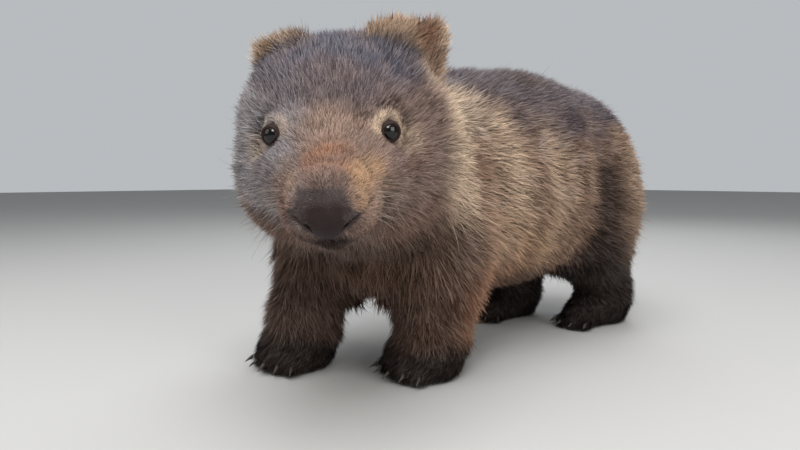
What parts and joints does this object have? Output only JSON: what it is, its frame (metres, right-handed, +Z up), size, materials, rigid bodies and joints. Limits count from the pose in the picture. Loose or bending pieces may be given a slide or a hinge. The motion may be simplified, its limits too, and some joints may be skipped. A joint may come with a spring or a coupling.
{
  "type": "wombat",
  "caption": "Life-size model of a young bare-nosed wombat standing four-square, head turned to its left, in a short grizzled coat.",
  "frame": {"origin": "on the ground under the middle of the animal's bounding box", "axes": "+X to the animal's left, +Y towards its tail, +Z up"},
  "size_m": [0.274, 0.6024, 0.3026],
  "materials": {
    "coat": "short dense grizzled fur",
    "face_coat": "very short grizzled fur",
    "ear_coat": "sandy fur with pale tips",
    "paw_coat": "short dark fur over bare soles",
    "nose_skin": "bare, finely pebbled skin",
    "eye_ball": "wet and glossy",
    "horn": "worn horn"
  },
  "bodies": {
    "root": {"claw_fore_left_1": "horn", "claw_fore_left_2": "horn", "claw_fore_left_3": "horn", "claw_fore_left_4": "horn", "claw_fore_left_5": "horn", "claw_fore_right_1": "horn", "claw_fore_right_2": "horn", "claw_fore_right_3": "horn", "claw_fore_right_4": "horn", "claw_fore_right_5": "horn", "claw_hind_left_1": "horn", "claw_hind_left_2": "horn", "claw_hind_left_3": "horn", "claw_hind_left_4": "horn", "claw_hind_right_1": "horn", "claw_hind_right_2": "horn", "claw_hind_right_3": "horn", "claw_hind_right_4": "horn", "ear_left": "ear_coat", "ear_right": "ear_coat", "eye_left": "eye_ball", "eye_right": "eye_ball", "forefoot_left": "paw_coat", "forefoot_right": "paw_coat", "foreleg_left": "coat", "foreleg_right": "coat", "head": "face_coat", "hindfoot_left": "paw_coat", "hindfoot_right": "paw_coat", "hindleg_left": "coat", "hindleg_right": "coat", "neck": "coat", "nose": "nose_skin", "tail": "coat", "torso": "coat"}
  },
  "joints": []
}
